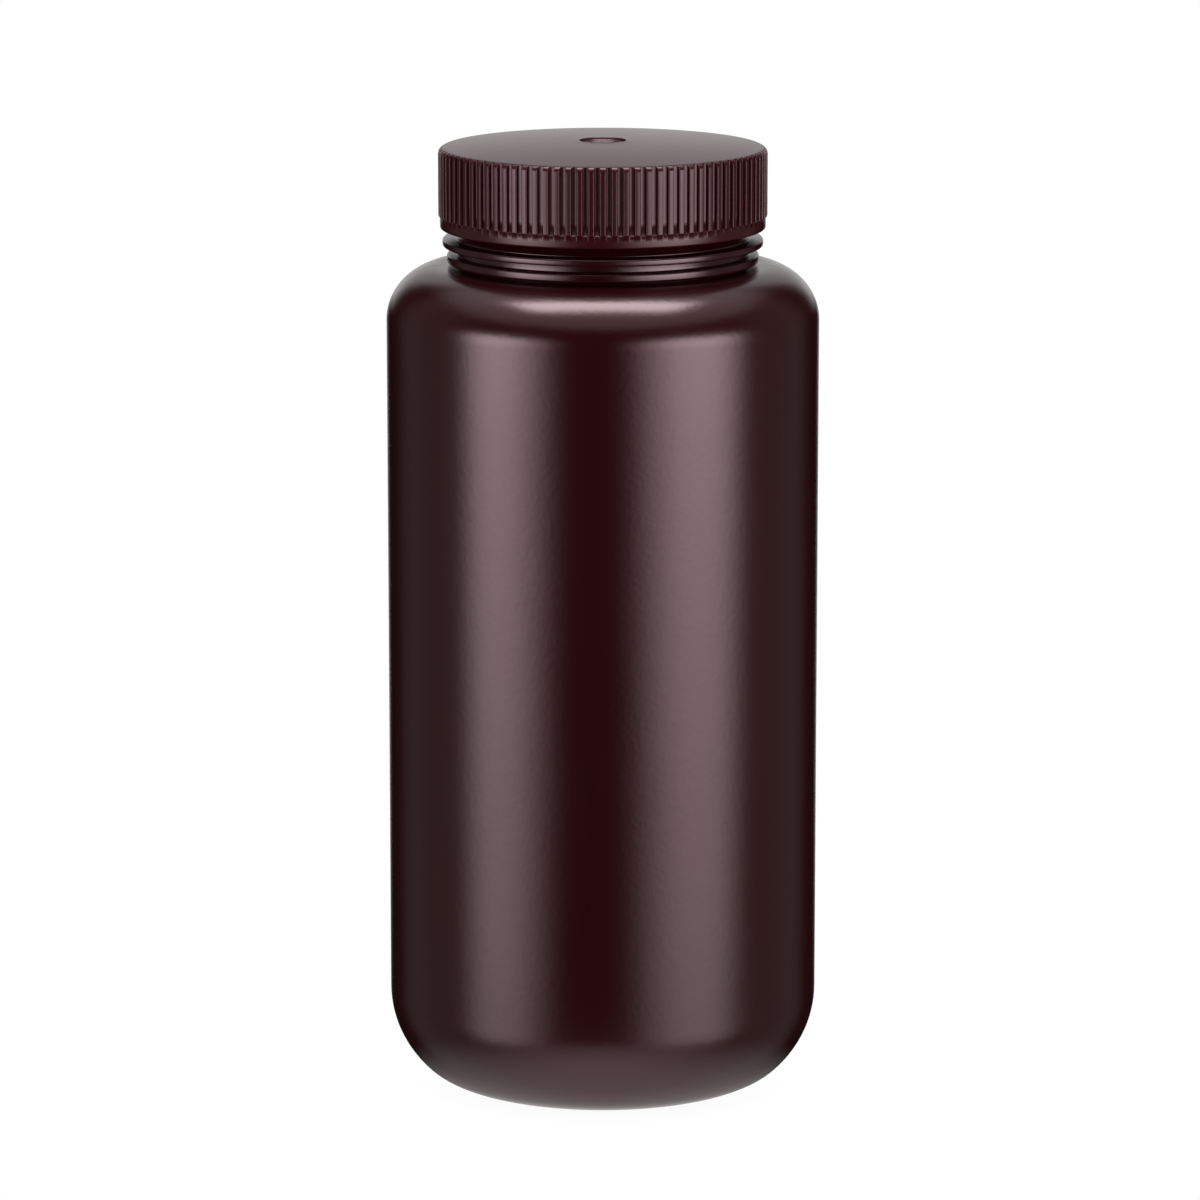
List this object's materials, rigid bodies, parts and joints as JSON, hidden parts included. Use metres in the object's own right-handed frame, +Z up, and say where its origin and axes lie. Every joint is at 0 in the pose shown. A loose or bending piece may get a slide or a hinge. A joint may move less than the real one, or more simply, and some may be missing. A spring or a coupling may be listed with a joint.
{
  "type": "wide-mouth plastic bottle",
  "caption": "Round wide-mouth plastic laboratory bottle with rounded shoulder, beaded neck and a ribbed screw cap.",
  "frame": {"origin": "on the bottle's axis, in the plane that the standing ring rests on", "axes": "+Z up along the axis from the base to the cap; X and Y are alike, the front view looks along +Y"},
  "size_m": [0.091, 0.091, 0.2012],
  "materials": {
    "bottle_plastic": "satin opaque dark red-brown polyethylene with a fine moulded grain",
    "cap_plastic": "semi-gloss opaque dark red-brown polypropylene"
  },
  "bodies": {
    "bottle": {"bottle": "bottle_plastic"},
    "cap": {"screw_cap": "cap_plastic"}
  },
  "joints": [
    {"name": "cap_lift", "type": "slide", "parent": "bottle", "child": "cap", "axis": [0, 0, 1], "range_m": [0, 0.03]}
  ]
}
